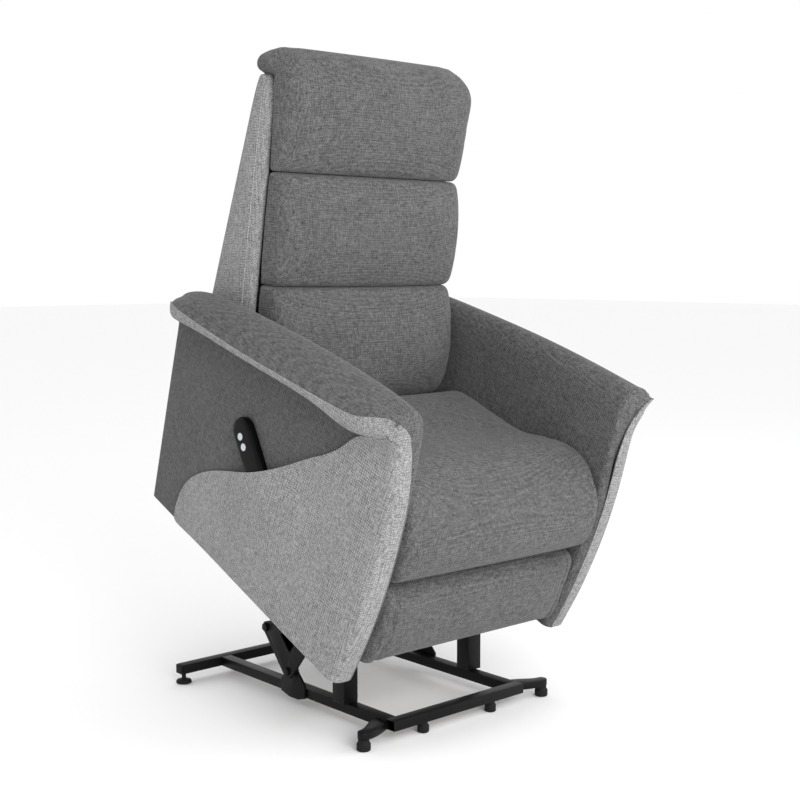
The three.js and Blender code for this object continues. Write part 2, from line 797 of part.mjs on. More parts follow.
// A place in the side view: down from the handset's upper end, and across it.
function onHandset(along, across) {
  const [cos, sin] = [Math.cos(handsetAngle), Math.sin(handsetAngle)];
  return [handsetTop[0] - along * cos - across * sin, handsetTop[1] - along * sin + across * cos];
}

// ---------- backrest ----------

const back = new THREE.Group();
back.position.set(0, ...backHinge);
back.rotation.x = -backLean;
chassis.add(back);

const backBoard = 14;
const backInner = backFrameHalf - backBoard;

function buildBack() {
  const inside = backInner - contactGap;
  place(back, "back_frame", backFrame(), paleFabric);
  place(back, "back_webbing", box(-inside, inside, backWebbing - 4, backWebbing, 100, 705), timber);
  place(back, "back_rear_cover", slab(rearCoverShape(), -inside, inside), paleFabric);
  const cushions = [
    ["back_cushion_lumbar", 108, 332, [-170, -184, -152], 0],
    ["back_cushion_middle", 332 + cushionGap, 578, [-146, -156, -146], 4],
    ["back_cushion_head", 578 + cushionGap, 842, [-148, -160, -128], 22],
  ];
  for (const [name, low, high, fronts, extra] of cushions) {
    place(back, name, backCushion(low, high, fronts, extra), darkFabric);
  }
}

// Two tapered sides tied by a top and a bottom board, glued into one frame.
function backFrame() {
  const shape = polygon([
    [-20, -20],
    [20, -20],
    shellRearBottom,
    shellRearTop,
    [shellFront, shellRearTop[1]],
    [shellFront, 70],
  ]);
  const boards = [-1, 1].map((s) => slab(shape, s * backInner, s * (backFrameHalf - contactGap)));
  const top = box(-backInner - 1, backInner + 1, -102, -84, 715, 780);
  const bottom = box(-backInner - 1, backInner + 1, -40, -22, 34, 90);
  const hole = barX(pinRadius + pinGap, -backFrameHalf - 1, backFrameHalf + 1, [0, 0]);
  return cut(join(...boards, top, bottom), hole);
}

function rearCoverShape() {
  const [[lowY, lowZ], [highY, highZ]] = [shellRearBottom, shellRearTop];
  return polygon([
    [lowY - 8, lowZ + 12],
    [lowY, lowZ],
    [highY, highZ],
    [highY - 7, highZ - 2],
  ]);
}

// Wide in front of the side frames and narrow between them, with a rounded face.
function backCushion(low, high, [yLow, yMiddle, yHigh], extra) {
  const rear = backWebbing - 4 - contactGap;
  const face = new THREE.Shape();
  const start = shellFront - contactGap;
  face.moveTo(start, low);
  face.lineTo(yLow + 14, low);
  face.quadraticCurveTo(yLow, low, yLow - 2, low + 26);
  face.quadraticCurveTo(yMiddle * 2 - (yLow + yHigh) / 2 + 2, (low + high) / 2, yHigh - 2, high - 26);
  face.quadraticCurveTo(yHigh, high, yHigh + 14, high);
  face.lineTo(start, high);
  face.closePath();
  const half = backFrameHalf - 2 + extra;
  const inside = backInner - contactGap;
  const filling = box(-inside, inside, start - 2, rear, low, Math.min(high, 705));
  return join(slab(face, -half, half), filling);
}

// ---------- leg rest ----------

function buildLegRest() {
  place(chassis, "leg_yoke_upper", legYokeUpper(), blackSteel);
  place(chassis, "leg_yoke_lower", legYokeLower(), blackSteel);
  for (const [side, s] of sides) {
    place(chassis, `leg_board_bracket_${side}`, legBracket(s), blackSteel);
  }
  const half = frameHalf - 20;
  const [front, rear] = [legBoardFront, legBoardFront + 15];
  place(chassis, "leg_rest_board", box(-half, half, front, rear, legBoardBottom, legBoardTop), timber);
  place(chassis, "leg_rest_pad", legPad(), darkFabric);
}

// Both upper links and the tube between them, with the studs of the elbows.
function legYokeUpper() {
  const shape = linkShape([legElbow, legPivot], [legLinkRadius, legLinkRadius]);
  const [near, far] = legLinkA;
  const links = [-1, 1].map((s) => slab(shape, s * near, s * far));
  const ties = barX(8, -near - 1, near + 1, upperTie);
  const studs = [-1, 1].map((s) => headedPin(s, near + 2, legLinkB[1], legElbow));
  return cut(join(ties, ...links, ...studs), barX(pinRadius + pinGap, -far - 1, far + 1, legPivot));
}

// Both lower links and their tube.
function legYokeLower() {
  const shape = linkShape([legElbow, legBoardPivot], [legLinkRadius, legLinkRadius]);
  const [near, far] = legLinkB;
  const links = [-1, 1].map((s) => slab(shape, s * near, s * far));
  const hole = barX(pinRadius + pinGap, -far - 1, far + 1, legElbow);
  const pivot = barX(pinRadius + pinGap, -far - 1, far + 1, legBoardPivot);
  return cut(join(barX(6, -near - 1, near + 1, lowerTie), ...links), hole, pivot);
}

// A plate behind the board, just inside the lower link, with the stud they turn on.
function legBracket(s) {
  const [y, z] = legBoardPivot;
  const rear = legBoardFront + 15 + contactGap;
  const shape = new THREE.Shape();
  shape.moveTo(rear, z - 30);
  shape.lineTo(y, z - legLinkRadius);
  shape.absarc(y, z, legLinkRadius, -Math.PI / 2, Math.PI / 2, false);
  shape.lineTo(rear, z + 20);
  shape.closePath();
  const [near, far] = legLinkA;
  return join(slab(shape, s * near, s * far), headedPin(s, near + 2, legLinkB[1], legBoardPivot));
}

function legPad() {
  const [front, rear] = [legPadFront, legBoardFront - contactGap];
  const [bottom, top] = [legPadBottom, legPadTop];
  const shape = new THREE.Shape();
  shape.moveTo(rear, bottom + 4);
  shape.lineTo(rear, top - 4);
  shape.lineTo(front + 16, top);
  shape.quadraticCurveTo(front, top, front, top - 18);
  shape.lineTo(front, bottom + 30);
  shape.quadraticCurveTo(front, bottom, front + 26, bottom);
  shape.closePath();
  return slab(shape, -cushionHalf, cushionHalf);
}

// ---------- handset ----------

const handsetNear = armOuter + 1;

function buildHandset() {
  const far = handsetNear + handsetThickness;
  const wells = buttonPlaces.map((along) => buttonDisc(along, buttonRadius + 0.4, far - 4, far + 1));
  place(chassis, "handset", cut(handsetBody(), ...wells), blackPlastic);
  const names = ["button_up", "button_down"];
  names.forEach((name, i) => {
    const disc = buttonDisc(buttonPlaces[i], buttonRadius, far - 2.5, far + 1.2);
    place(chassis, name, disc, greyPlastic);
  });
}

// A flat rounded bar, fuller at its upper end.
function handsetBody() {
  const half = handsetWidth / 2;
  const shape = new THREE.Shape();
  const at = (along, across) => shape.lineTo(...onHandset(along, across));
  shape.moveTo(...onHandset(0, -half + 20));
  at(0, half - 20);
  at(5, half - 9);
  at(15, half - 2);
  at(28, half);
  at(handsetLength - 12, half - 2);
  at(handsetLength, half - 14);
  at(handsetLength, -half + 14);
  at(handsetLength - 12, -half + 2);
  at(28, -half);
  at(15, -half + 2);
  at(5, -half + 9);
  shape.closePath();
  return slab(shape, -handsetNear, -handsetNear - handsetThickness);
}

function buttonDisc(along, radius, near, far) {
  return barX(radius, -near, -far, onHandset(along, buttonAcross), 16);
}

buildBase();
buildLinkage();
buildActuator();
buildChassis();
buildArms();
buildBack();
buildLegRest();
buildHandset();

export default chair;
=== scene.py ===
import bpy
import bmesh
import json
import math
import numpy as np
from mathutils import Matrix, Vector


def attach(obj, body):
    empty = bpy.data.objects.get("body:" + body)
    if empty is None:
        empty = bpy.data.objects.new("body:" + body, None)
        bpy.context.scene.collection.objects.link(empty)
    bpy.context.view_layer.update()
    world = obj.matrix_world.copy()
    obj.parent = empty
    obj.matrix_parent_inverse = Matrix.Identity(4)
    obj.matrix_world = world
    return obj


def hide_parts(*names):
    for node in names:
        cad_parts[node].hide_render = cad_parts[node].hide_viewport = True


# Lift recliner chair: upholstery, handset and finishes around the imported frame.
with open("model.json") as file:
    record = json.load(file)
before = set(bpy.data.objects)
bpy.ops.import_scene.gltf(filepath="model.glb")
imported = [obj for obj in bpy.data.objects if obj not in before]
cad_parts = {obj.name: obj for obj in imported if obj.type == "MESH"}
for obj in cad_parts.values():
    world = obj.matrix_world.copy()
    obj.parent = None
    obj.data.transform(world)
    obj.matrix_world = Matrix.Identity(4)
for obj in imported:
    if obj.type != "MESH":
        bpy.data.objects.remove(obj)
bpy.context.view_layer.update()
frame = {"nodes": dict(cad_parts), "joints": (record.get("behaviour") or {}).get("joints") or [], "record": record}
nodes = frame["nodes"]
joints = {j["name"]: j for j in frame["joints"]}
print("frame loaded")

tilt = math.radians(24)
hingeOnSeat = Vector((0, 0.610, 0.240))
turnSeat = Matrix.Rotation(tilt, 4, "X")
# The seat and the backrest as they stand in the frame at rest.
seatPlace = Matrix.Translation(Vector(joints["recline"]["pos_m"]) - turnSeat @ hingeOnSeat) @ turnSeat
backLean = math.radians(18.2)
backPlace = seatPlace @ Matrix.Translation(hingeOnSeat) @ Matrix.Rotation(-backLean, 4, "X")


# Short calls for building one material's tree.
class Nodes:
    def __init__(self, name):
        self.mat = bpy.data.materials.new(name)
        self.mat.use_nodes = True
        self.tree = self.mat.node_tree
        self.shader = self.tree.nodes["Principled BSDF"]

    def node(self, kind, values=None, **props):
        n = self.tree.nodes.new(kind)
        for key, value in props.items():
            setattr(n, key, value)
        for key, value in (values or {}).items():
            self.put(n.inputs[key], value)
        return n

    def put(self, socket, value):
        if isinstance(value, bpy.types.NodeSocket):
            self.tree.links.new(value, socket)
        else:
            socket.default_value = value

    def math(self, operation, a, b=0.0):
        n = self.node("ShaderNodeMath", operation=operation)
        self.put(n.inputs[0], a)
        self.put(n.inputs[1], b)
        return n.outputs[0]

    def objectPlace(self, turn=0.0, scale=(1, 1, 1)):
        coord = self.node("ShaderNodeTexCoord")
        mapping = self.node("ShaderNodeMapping", vector_type="POINT")
        mapping.inputs["Rotation"].default_value = (turn, 0, 0)
        self.put(mapping.inputs["Vector"], coord.outputs["Object"])
        out = mapping.outputs[0]
        if tuple(scale) == (1, 1, 1):
            return out
        return self.stretch(out, scale)

    def stretch(self, vector, scale):
        n = self.node("ShaderNodeVectorMath", operation="MULTIPLY")
        self.put(n.inputs[0], vector)
        n.inputs[1].default_value = scale
        return n.outputs[0]

    def noise(self, vector, scale, detail=2.0, rough=0.55):
        n = self.node("ShaderNodeTexNoise",
                      {"Vector": vector, "Scale": scale, "Detail": detail, "Roughness": rough})
        return n.outputs["Fac"]

    def ramp(self, fac, stops):
        n = self.node("ShaderNodeValToRGB")
        self.put(n.inputs["Fac"], fac)
        elements = n.color_ramp.elements
        while len(elements) < len(stops):
            elements.new(0.5)
        for element, (pos, color) in zip(elements, stops):
            element.position = pos
            element.color = (*color, 1)
        return n.outputs["Color"]


def grey(value, tint=(1, 1, 1)):
    return tuple(value * t for t in tint)


# A plain weave: streaks along both thread directions, a fine lattice, and slow shade changes.
def weaveMaterial(name, s):
    m = Nodes(name)
    place = m.objectPlace(turn=-s["turn"])
    fine, long = s["fine"], s["fine"] / s["slub"]
    along = [m.noise(m.stretch(place, v), 1.0, 2.0, 0.6)
             for v in ((long, fine, fine), (fine, long, fine), (fine, fine, long))]
    threads = m.math("ADD", m.math("ADD", along[0], along[1]), along[2])
    threads = m.math("MULTIPLY", threads, 1 / 3)
    pitch = 2 * math.pi / s["pitch"]
    split = m.node("ShaderNodeSeparateXYZ")
    m.put(split.inputs[0], m.stretch(place, (pitch, pitch, pitch)))
    waves = [m.math("SINE", split.outputs[i]) for i in range(3)]
    lattice = m.math("ADD", m.math("MULTIPLY", waves[0], waves[1]), m.math("MULTIPLY", waves[1], waves[2]))
    lattice = m.math("ADD", lattice, m.math("MULTIPLY", waves[2], waves[0]))
    lattice = m.math("MULTIPLY", lattice, s["latticeShade"])
    slow = m.noise(place, 9.0, 3.0, 0.6)
    shade = m.math("ADD", threads, lattice)
    shade = m.math("ADD", shade, m.math("MULTIPLY", m.math("SUBTRACT", slow, 0.5), s["slowShade"]))
    spread = s["contrast"]
    low, mid, high = s["base"] * (1 - spread), s["base"], s["base"] * (1 + spread * 1.15)
    stops = [(at, grey(value, s["tint"])) for at, value in zip((0.34, 0.5, 0.66), (low, mid, high))]
    color = m.ramp(shade, stops)
    m.put(m.shader.inputs["Base Color"], color)
    m.shader.inputs["Roughness"].default_value = 0.92
    m.shader.inputs["Specular IOR Level"].default_value = 0.18
    m.shader.inputs["Sheen Weight"].default_value = s["sheen"]
    m.shader.inputs["Sheen Roughness"].default_value = 0.5
    height = m.math("ADD", threads, m.math("MULTIPLY", lattice, 1.5))
    bump = m.node("ShaderNodeBump", {"Height": height, "Strength": s["bump"], "Distance": 0.0016})
    m.put(m.shader.inputs["Normal"], bump.outputs[0])
    return m.mat


fabric = {
    "dark": dict(base=0.086, tint=(1.0, 1.0, 1.005), contrast=0.62, fine=250, slub=4.0, pitch=0.0052,
                 latticeShade=0.05, slowShade=0.08, sheen=0.10, bump=0.8),
    "pale": dict(base=0.225, tint=(1.0, 1.0, 1.005), contrast=0.50, fine=240, slub=2.6, pitch=0.0058,
                 latticeShade=0.07, slowShade=0.08, sheen=0.08, bump=0.8),
}
darkSeat = weaveMaterial("darkWeaveSeat", dict(fabric["dark"], turn=tilt))
darkBack = weaveMaterial("darkWeaveBack", dict(fabric["dark"], turn=tilt - backLean))
# Arm sides: a darker, flatter copy of the same dark weave, painted shade for faces turned away from the light.
darkSideShaded = weaveMaterial("darkWeaveSideShaded", dict(fabric["dark"], turn=tilt, base=0.080, contrast=0.5))
paleSeat = weaveMaterial("paleWeaveSeat", dict(fabric["pale"], turn=tilt))
paleBack = weaveMaterial("paleWeaveBack", dict(fabric["pale"], turn=tilt - backLean))


# Sprayed, moulded or plated surfaces: a base colour with slow mottling, fine bump and worn roughness.
def coatMaterial(name, color, roughness, metallic=0.0, mottle=0.15, grain=900, bump=0.12, gloss=0.5):
    m = Nodes(name)
    place = m.objectPlace()
    slow = m.noise(place, 14, 3)
    fine = m.noise(place, grain, 2)
    low = tuple(c * (1 - mottle) for c in color)
    high = tuple(c * (1 + mottle) for c in color)
    m.put(m.shader.inputs["Base Color"], m.ramp(slow, [(0.3, low), (0.7, high)]))
    rough = m.node("ShaderNodeMapRange",
                   {"Value": slow, "To Min": roughness * 0.85, "To Max": roughness * 1.2})
    m.put(m.shader.inputs["Roughness"], rough.outputs[0])
    m.shader.inputs["Metallic"].default_value = metallic
    m.shader.inputs["Specular IOR Level"].default_value = gloss
    bumped = m.node("ShaderNodeBump", {"Height": fine, "Strength": bump, "Distance": 0.0004})
    m.put(m.shader.inputs["Normal"], bumped.outputs[0])
    return m.mat


blackPowder = coatMaterial("blackPowder", (0.0035, 0.0035, 0.0037), 0.42, mottle=0.25, grain=1400, bump=0.35,
                           gloss=0.14)
zincPlate = coatMaterial("zincPlate", (0.55, 0.56, 0.57), 0.32, metallic=1.0, grain=500, bump=0.1)
rubberPad = coatMaterial("rubberPad", (0.007, 0.007, 0.007), 0.7, mottle=0.3, grain=700, bump=0.3, gloss=0.2)
motorShell = coatMaterial("motorShell", (0.008, 0.008, 0.009), 0.5, grain=1600, bump=0.4, gloss=0.25)
glossShell = coatMaterial("glossShell", (0.002, 0.002, 0.002), 0.45, mottle=0.2, grain=900, bump=0.05,
                          gloss=0.1)
greyKeys = coatMaterial("greyKeys", (0.5, 0.53, 0.56), 0.4, mottle=0.06, grain=800, bump=0.05)
threadDark = coatMaterial("threadDark", (0.07, 0.07, 0.072), 0.8, grain=2500, bump=0.4)
threadPale = coatMaterial("threadPale", (0.42, 0.42, 0.42), 0.8, grain=2500, bump=0.4)


def woodMaterial():
    m = Nodes("plywood")
    place = m.objectPlace(turn=-tilt)
    rings = m.noise(m.stretch(place, (3, 60, 60)), 1.0, 4, 0.6)
    color = m.ramp(rings, [(0.3, (0.30, 0.19, 0.10)), (0.55, (0.48, 0.33, 0.18)), (0.75, (0.58, 0.42, 0.25))])
    m.put(m.shader.inputs["Base Color"], color)
    m.shader.inputs["Roughness"].default_value = 0.75
    bump = m.node("ShaderNodeBump", {"Height": rings, "Strength": 0.2, "Distance": 0.0006})
    m.put(m.shader.inputs["Normal"], bump.outputs[0])
    return m.mat


plywood = woodMaterial()
print("materials made")


def newObject(name, verts, faces, material):
    mesh = bpy.data.meshes.new(name)
    mesh.from_pydata([tuple(v) for v in verts], [], faces)
    mesh.validate()
    mesh.materials.append(material)
    obj = bpy.data.objects.new(name, mesh)
    bpy.context.scene.collection.objects.link(obj)
    mesh.polygons.foreach_set("use_smooth", [True] * len(mesh.polygons))
    return obj


def outward(obj):
    b = bmesh.new()
    b.from_mesh(obj.data)
    bmesh.ops.remove_doubles(b, verts=b.verts, dist=1e-5)
    bmesh.ops.recalc_face_normals(b, faces=b.faces)
    b.to_mesh(obj.data)
    b.free()


def applyAll(obj):
    evaluated = obj.evaluated_get(bpy.context.evaluated_depsgraph_get())
    mesh = bpy.data.meshes.new_from_object(evaluated)
    old = obj.data
    obj.modifiers.clear()
    obj.data = mesh
    bpy.data.meshes.remove(old)
    mesh.name = obj.name


def smoothShade(obj, angle=None):
    mesh = obj.data
    mesh.polygons.foreach_set("use_smooth", [True] * len(mesh.polygons))
    if angle is not None:
        b = bmesh.new()
        b.from_mesh(mesh)
        for e in b.edges:
            e.smooth = len(e.link_faces) < 2 or e.calc_face_angle(0) < angle
        b.to_mesh(mesh)
        b.free()


def subdivide(obj, levels=1):
    mod = obj.modifiers.new("soften", "SUBSURF")
    mod.levels = levels
    mod.render_levels = levels
    applyAll(obj)


# Closed solid through rings of points, each ring with the same count.
def loft(name, rings, material):
    count = len(rings[0])
    verts = [p for ring in rings for p in ring]
    faces = []
    for r in range(len(rings) - 1):
        for i in range(count):
            j = (i + 1) % count
            faces.append((r * count + i, r * count + j, (r + 1) * count + j, (r + 1) * count + i))
    last = (len(rings) - 1) * count
    faces.append(tuple(range(count)))
    faces.append(tuple(last + i for i in reversed(range(count))))
    obj = newObject(name, verts, faces, material)
    outward(obj)
    return obj


# Open sheet over rows of points.
def sheetMesh(name, rows, material):
    n = len(rows[0])
    verts = [p for row in rows for p in row]
    faces = [(r * n + i, r * n + i + 1, (r + 1) * n + i + 1, (r + 1) * n + i)
             for r in range(len(rows) - 1) for i in range(n - 1)]
    return newObject(name, verts, faces, material)


def moveTo(obj, place):
    obj.data.transform(place)
    obj.data.update()


def interp(table, t):
    xs = [a for a, _ in table]
    ys = [b for _, b in table]
    return float(np.interp(t, xs, ys))


# A smooth curve through (x, y) pairs.
def smoothInterp(table, t):
    xs = [p[0] for p in table]
    ys = [p[1] for p in table]
    if t <= xs[0]:
        return ys[0]
    if t >= xs[-1]:
        return ys[-1]
    i = max(j for j in range(len(xs) - 1) if xs[j] <= t)
    x0, x1 = xs[i], xs[i + 1]
    y0, y1 = ys[i], ys[i + 1]
    m0 = (y1 - ys[i - 1]) / (x1 - xs[i - 1]) if i > 0 else (y1 - y0) / (x1 - x0)
    m1 = (ys[i + 2] - y0) / (xs[i + 2] - x0) if i + 2 < len(xs) else (y1 - y0) / (x1 - x0)
    h = x1 - x0
    u = (t - x0) / h
    return ((2 * u**3 - 3 * u**2 + 1) * y0 + (u**3 - 2 * u**2 + u) * h * m0
            + (-2 * u**3 + 3 * u**2) * y1 + (u**3 - u**2) * h * m1)


# 0 to 1, easing in over the edge width.
def soften(value, edge):
    t = min(max(value / edge, 0), 1)
    return t * t * (3 - 2 * t)


clothSet = dict(quality=5, mass=0.35, tension_stiffness=18, compression_stiffness=12, shear_stiffness=6,
                bending_stiffness=1.2, use_pressure=True, vertex_group_mass="held")


# Voxel remesh, then a short pressure simulation with the movement capped, then a smoothing pass.
def swell(obj, voxel=0.006, pressure=4.0, frames=20, cap=0.012, pinned=None):
    mod = obj.modifiers.new("remesh", "REMESH")
    mod.mode = "VOXEL"
    mod.voxel_size = voxel
    applyAll(obj)
    count = len(obj.data.vertices)
    before = np.zeros(count * 3)
    obj.data.vertices.foreach_get("co", before)
    before = before.reshape(-1, 3)
    group = obj.vertex_groups.new(name="held")
    weights = np.array([pinned(*p) if pinned else 0.0 for p in before])
    for level in sorted(set(np.round(weights, 2))):
        if level > 0:
            group.add([int(i) for i in np.where(np.round(weights, 2) == level)[0]], float(level), "REPLACE")
    cloth = obj.modifiers.new("cloth", "CLOTH")
    for key, value in clothSet.items():
        setattr(cloth.settings, key, value)
    cloth.settings.uniform_pressure_force = pressure
    cloth.settings.effector_weights.gravity = 0
    cloth.collision_settings.use_collision = False
    scene = bpy.context.scene
    cloth.point_cache.frame_start = 1
    cloth.point_cache.frame_end = frames
    for f in range(1, frames + 1):
        scene.frame_set(f)
    evaluated = obj.evaluated_get(bpy.context.evaluated_depsgraph_get())
    after = np.zeros(count * 3)
    evaluated.data.vertices.foreach_get("co", after)
    after = after.reshape(-1, 3)
    obj.modifiers.clear()
    obj.vertex_groups.clear()
    scene.frame_set(1)
    step = after - before
    size = np.linalg.norm(step, axis=1)
    capped = cap * np.tanh(size / cap) / np.maximum(size, 1e-9)
    limit = np.where(size > 1e-9, np.minimum(1.0, capped), 0)
    before = before + step * limit[:, None]
    obj.data.vertices.foreach_set("co", before.ravel())
    obj.data.update()
    relax = obj.modifiers.new("relax", "SMOOTH")
    relax.factor = 0.5
    relax.iterations = 4
    applyAll(obj)
    return obj


def shapeVerts(obj, change):
    mesh = obj.data
    co = np.zeros(len(mesh.vertices) * 3)
    mesh.vertices.foreach_get("co", co)
    co = change(co.reshape(-1, 3))
    mesh.vertices.foreach_set("co", co.ravel())
    mesh.update()


backSet = dict(outer=0.277, band=0.026, steps=26, shellRound=0.034, rearRound=0.026, shellPuff=0.006)
wingLine = [(-0.02, -0.020), (0.07, -0.060), (0.30, -0.073), (0.70, -0.105), (0.79, -0.108)]
shoulderLine = [(0.06, -0.066), (0.30, -0.079), (0.70, -0.110), (0.80, -0.112)]


# One sewn section: z range, depth of the face along z, half width along z.
def backSection(name, s, material):
    rings = []
    low, high = s["z"]
    for k in range(backSet["steps"] + 1):
        z = low + (high - low) * k / backSet["steps"]
        fromEnd = min(z - low, high - z)
        end = 0 if z - low < high - z else 1
        r, share = s["round"][end], s["sideShare"][end]
        bend = 1 - math.sqrt(max(1 - max(1 - fromEnd / r, 0) ** 2, 0))
        width = smoothInterp(s["half"], z) - bend * r * share
        front = smoothInterp(s["face"], z) + bend * min(r, 0.045)
        rear = interp(s["rear"], z)
        corner = s["corner"]
        shoulder = interp(shoulderLine, z)
        rearHalf = interp(s["rearHalf"], z)
        side = []
        for i in range(0, 7):
            u = i / 6
            side.append((u * (width - corner), front - s["crown"] * (1 - u ** 2.4), z))
        for i in range(1, 7):
            a = (i / 6) * math.pi / 2
            side.append((width - corner + corner * math.sin(a), front + corner * (1 - math.cos(a)) * 0.8, z))
        side.append((width, max(front + corner * 0.85, shoulder - 0.004), z))
        side.append((rearHalf, shoulder + 0.006, z))
        side.append((rearHalf - 0.003, rear, z))
        rings.append([(-x, y, h) for x, y, h in reversed(side[1:])] + side)
    return loft(name, rings, material)


sections = {
    "lumbarCushion": dict(
        z=(0.062, 0.3345), half=[(0.06, 0.252), (0.14, 0.260), (0.26, 0.263), (0.335, 0.263)],
        face=[(0.06, -0.142), (0.12, -0.166), (0.18, -0.175), (0.25, -0.171), (0.30, -0.159), (0.334, -0.147)],
        rear=[(0.0, -0.062), (0.34, -0.062)], round=(0.034, 0.010), sideShare=(0.5, 0.15),
        crown=0.016, corner=0.034,
        rearHalf=[(0, 0.247), (1, 0.247)], cad="back_cushion_lumbar"),
    "middleCushion": dict(
        z=(0.3352, 0.5796), half=[(0.335, 0.263), (0.46, 0.268), (0.58, 0.268)],
        face=[(0.335, -0.147), (0.37, -0.159), (0.45, -0.166), (0.53, -0.160), (0.58, -0.146)],
        rear=[(0.33, -0.062), (0.58, -0.062)], round=(0.010, 0.010), sideShare=(0.15, 0.15),
        crown=0.015, corner=0.034,
        rearHalf=[(0, 0.247), (1, 0.247)], cad="back_cushion_middle"),
    "headCushion": dict(
        z=(0.5803, 0.843), half=[(0.58, 0.268), (0.66, 0.271), (0.74, 0.275), (0.80, 0.279), (0.845, 0.278)],
        face=[(0.58, -0.146), (0.62, -0.158), (0.70, -0.170), (0.78, -0.172), (0.845, -0.162)],
        rear=[(0.58, -0.062), (0.776, -0.062), (0.790, -0.052), (0.82, -0.054), (0.845, -0.080)],
        round=(0.010, 0.085), sideShare=(0.15, 0.72), crown=0.013, corner=0.036,
        rearHalf=[(0.58, 0.247), (0.776, 0.247), (0.786, 0.268), (0.796, 0.280), (0.810, 0.284), (0.824, 0.277),
                  (0.835, 0.260), (0.845, 0.232)], cad="back_cushion_head"),
}

for name, s in sections.items():
    piece = backSection(name, s, darkBack)
    low, high = s["z"]
    ends = (low + 0.008, high - 0.008 if high < 0.8 else high + 1)
    swell(piece, cap=0.007, pressure=3.0,
          pinned=lambda x, y, z, ends=ends: float(y > -0.108 or z < ends[0] or z > ends[1]))
    subdivide(piece)
    smoothShade(piece)
    moveTo(piece, backPlace)
    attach(piece, "backrest")
    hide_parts(s["cad"])
    print("made", name, len(piece.data.polygons))


# The pale shell behind the cushions: two tapered sides, rounded rear edges and a full-width rear.
def backShell():
    s = backSet
    rings = []
    levels = [-0.02, 0.02, 0.07, 0.14, 0.22, 0.30, 0.40, 0.50, 0.60, 0.68, 0.735, 0.765, 0.781, 0.787]
    for z in levels:
        rear = 0.02 + 0.118 * max(0.0, z) / 0.14 if z < 0.14 else 0.138 - 0.184 * (z - 0.14) / 0.646
        front = interp(wingLine, z)
        fold = max(z - 0.745, 0) / 0.042
        roundTop = s["shellRound"] * (1 - math.sqrt(max(1 - min(fold, 1) ** 2, 0)))
        front += roundTop
        rear -= roundTop * 0.5
        half = s["outer"] - roundTop * 0.25
        inner = half - s["band"] + roundTop * 0.1
        depth = rear - front
        r = min(s["rearRound"], depth * 0.4)
        puff = s["shellPuff"] * math.sin(math.pi * min(max((z - 0.1) / 0.7, 0), 1))
        side = [(0.0, front + 0.045), (inner * 0.5, front + 0.045), (inner - 0.004, front + 0.044),
                (inner, front + 0.034), (inner + 0.001, front + 0.010), (inner + 0.006, front + 0.002),
                (half - s["band"] / 2, front), (half - 0.007, front + 0.003), (half - 0.001, front + 0.012)]
        for t in (0.3, 0.55, 0.8):
            side.append((half + puff * math.sin(math.pi * t), front + 0.012 + (depth - r - 0.012) * t))
        for i in range(5):
            a = i / 4 * math.pi / 2
            side.append((half - r + r * math.cos(a), rear - r + r * math.sin(a)))
        for u in (0.6, 0.3, 0.0):
            side.append((u * half, rear + 0.010 * (1 - u * u) * (1 if 0.15 < z < 0.78 else 0.3)))
        ring = [(x, y, z) for x, y in side] + [(-x, y, z) for x, y in reversed(side[1:-1])]
        rings.append(ring)
    obj = loft("backShell", rings, paleBack)
    subdivide(obj, 2)
    return obj


shell = backShell()
moveTo(shell, backPlace)
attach(shell, "backrest")
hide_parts("back_frame", "back_rear_cover", "back_webbing")
print("made backShell")


seatSet = dict(half=0.2845, corner=0.018)


# Evenly spaced points on a closed smooth curve through the given ones.
def closedProfile(points, count):
    p = np.array(points + points[:1], float)
    dense = []
    n = len(points)
    for i in range(n):
        p0, p1, p2, p3 = (p[(i - 1) % n], p[i], p[(i + 1) % n], p[(i + 2) % n])
        for u in np.linspace(0, 1, 12, endpoint=False):
            dense.append(0.5 * ((2 * p1) + (-p0 + p2) * u + (2 * p0 - 5 * p1 + 4 * p2 - p3) * u**2
                                + (-p0 + 3 * p1 - 3 * p2 + p3) * u**3))
    dense = np.array(dense + dense[:1])
    step = np.concatenate([[0], np.cumsum(np.linalg.norm(np.diff(dense, axis=0), axis=1))])
    at = np.linspace(0, step[-1], count, endpoint=False)
    return [(float(np.interp(a, step, dense[:, 0])), float(np.interp(a, step, dense[:, 1]))) for a in at]


# Side outlines of the seat at its middle and at its sides.
seatMiddle = [(0.474, 0.215), (0.477, 0.300), (0.476, 0.362), (0.430, 0.386), (0.330, 0.392), (0.240, 0.396),
              (0.185, 0.406), (0.120, 0.420), (0.060, 0.414), (0.008, 0.388), (-0.030, 0.345),
              (-0.043, 0.295), (-0.037, 0.252), (-0.014, 0.232), (0.034, 0.222), (0.060, 0.208),
              (0.200, 0.207), (0.400, 0.207)]
seatSides = [(0.474, 0.215), (0.480, 0.300), (0.479, 0.366), (0.430, 0.382), (0.330, 0.392), (0.245, 0.398),
             (0.184, 0.410), (0.125, 0.431), (0.062, 0.436), (0.006, 0.413), (-0.035, 0.362), (-0.046, 0.300),
             (-0.038, 0.254), (-0.014, 0.232), (0.034, 0.222), (0.060, 0.208), (0.200, 0.207), (0.400, 0.207)]


def seatCushion():
    half = seatSet["half"]
    stations = [-1, -0.985, -0.95, -0.9, -0.8, -0.6, -0.3, 0, 0.3, 0.6, 0.8, 0.9, 0.95, 0.985, 1]
    centre = np.array([0.22, 0.30])
    middle = np.array(closedProfile(seatMiddle, 72))
    sides = np.array(closedProfile(seatSides, 72))
    rings = []
    for u in stations:
        share = abs(u) ** 2.2
        outline = middle * (1 - share) + sides * share
        fromEnd = (1 - abs(u)) * half
        r = seatSet["corner"]
        inset = r - math.sqrt(max(r * r - max(r - fromEnd, 0) ** 2, 0)) if fromEnd < r else 0
        direction = outline - centre
        size = np.linalg.norm(direction, axis=1)[:, None]
        outline = outline - direction / size * inset
        rings.append([(u * half, float(v), float(w)) for v, w in outline])
    return loft("seatCushion", rings, darkSeat)


